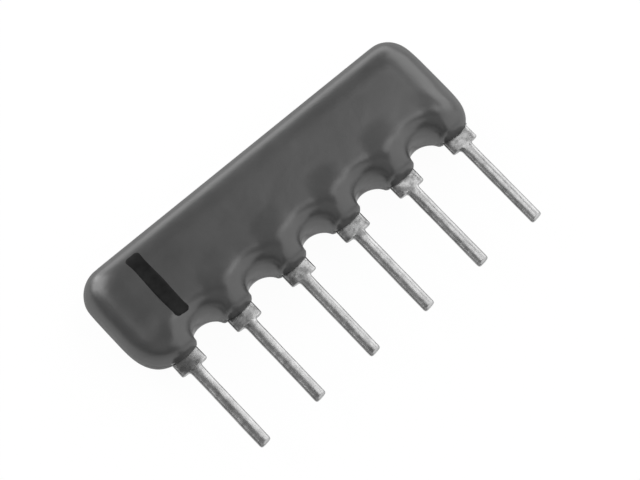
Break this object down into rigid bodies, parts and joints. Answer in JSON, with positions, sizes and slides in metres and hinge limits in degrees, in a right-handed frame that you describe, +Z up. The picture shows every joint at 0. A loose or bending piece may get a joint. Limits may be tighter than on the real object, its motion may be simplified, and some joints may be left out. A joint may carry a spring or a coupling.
{
  "type": "resistor network",
  "caption": "Low-profile single in-line resistor network: dark dipped epoxy body with a scalloped lower edge, a row of stamped tinned leads, and a printed bar at its marked end.",
  "frame": {"origin": "middle of the part's box, on the surface that its flat back rests on", "axes": "+X along the lead row away from lead 1, +Y from the leads to the body's top edge, +Z up out of the marked face"},
  "size_m": [0.0152, 0.0088, 0.0023],
  "materials": {
    "epoxy": "dipped dark grey epoxy, satin",
    "alumina": "fired white alumina, matt",
    "conductor": "printed silver-palladium film, matt",
    "resistor": "printed ruthenium oxide film, dark, satin",
    "overglaze": "fired green glass film, glossy",
    "tinned_lead": "solder-dipped, uneven bright grey",
    "solder": "reflowed solder, smooth bright grey",
    "ink": "printed black ink, satin"
  },
  "bodies": {
    "root": {"epoxy_coating": "epoxy", "ceramic_substrate": "alumina", "bus_conductor": "conductor", "pad_conductor_2": "conductor", "pad_conductor_3": "conductor", "pad_conductor_4": "conductor", "pad_conductor_5": "conductor", "pad_conductor_6": "conductor", "back_pads": "conductor", "resistor_film_1": "resistor", "resistor_film_2": "resistor", "resistor_film_3": "resistor", "resistor_film_4": "resistor", "resistor_film_5": "resistor", "glass_overglaze": "overglaze", "lead_1": "tinned_lead", "lead_2": "tinned_lead", "lead_3": "tinned_lead", "lead_4": "tinned_lead", "lead_5": "tinned_lead", "lead_6": "tinned_lead", "solder_joint_1": "solder", "solder_joint_2": "solder", "solder_joint_3": "solder", "solder_joint_4": "solder", "solder_joint_5": "solder", "solder_joint_6": "solder", "pin_one_mark": "ink"}
  },
  "joints": []
}
